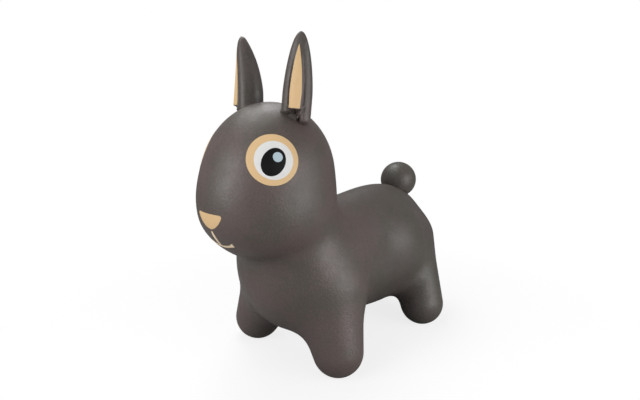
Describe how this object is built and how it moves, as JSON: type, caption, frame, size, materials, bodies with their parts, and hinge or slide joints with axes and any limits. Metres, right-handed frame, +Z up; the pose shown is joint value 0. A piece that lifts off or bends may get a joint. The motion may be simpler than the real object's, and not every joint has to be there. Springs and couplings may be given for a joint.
{
  "type": "inflatable animal hopper",
  "caption": "Inflatable rabbit a child sits astride and bounces on, with a moulded air skin, ear handles that flex, printed eyes, nose and mouth, and a belly air valve.",
  "frame": {"origin": "on the floor, under the middle of the bounding box", "axes": "+Z up, the rabbit faces -Y, its left side is +X"},
  "size_m": [0.2754, 0.5179, 0.5257],
  "materials": {
    "skin_pvc": "satin, slightly mottled soft PVC",
    "tan_print": "satin printed ink",
    "white_print": "satin printed ink",
    "pupil_print": "satin printed ink",
    "glint_print": "satin printed ink",
    "valve_pvc": "satin soft PVC"
  },
  "bodies": {
    "body": {"skin": "skin_pvc", "valve_seat": "valve_pvc", "ear_root_left": "skin_pvc", "eye_ring_left": "tan_print", "eye_white_left": "white_print", "eye_pupil_left": "pupil_print", "eye_glint_left": "glint_print", "ear_root_right": "skin_pvc", "eye_ring_right": "tan_print", "eye_white_right": "white_print", "eye_pupil_right": "pupil_print", "eye_glint_right": "glint_print", "nose_print": "tan_print", "lip_line_print": "tan_print", "smile_print": "tan_print"},
    "ear_left": {"ear_left": "skin_pvc", "ear_print_left": "tan_print"},
    "ear_right": {"ear_right": "skin_pvc", "ear_print_right": "tan_print"},
    "valve_plug": {"valve_plug": "valve_pvc"}
  },
  "joints": [
    {"name": "ear_left_flex", "type": "hinge", "parent": "body", "child": "ear_left", "pos_m": [0.05367, -0.133, 0.43875], "axis": [1, 0, 0], "range_deg": [-25, 20], "stiffness_Nm_per_rad": 3},
    {"name": "ear_right_flex", "type": "hinge", "parent": "body", "child": "ear_right", "pos_m": [-0.05367, -0.133, 0.43875], "axis": [1, 0, 0], "range_deg": [-25, 20], "stiffness_Nm_per_rad": 3},
    {"name": "valve_plug_pull", "type": "slide", "parent": "body", "child": "valve_plug", "axis": [0, 0, -1], "range_m": [0, 0.02]}
  ]
}
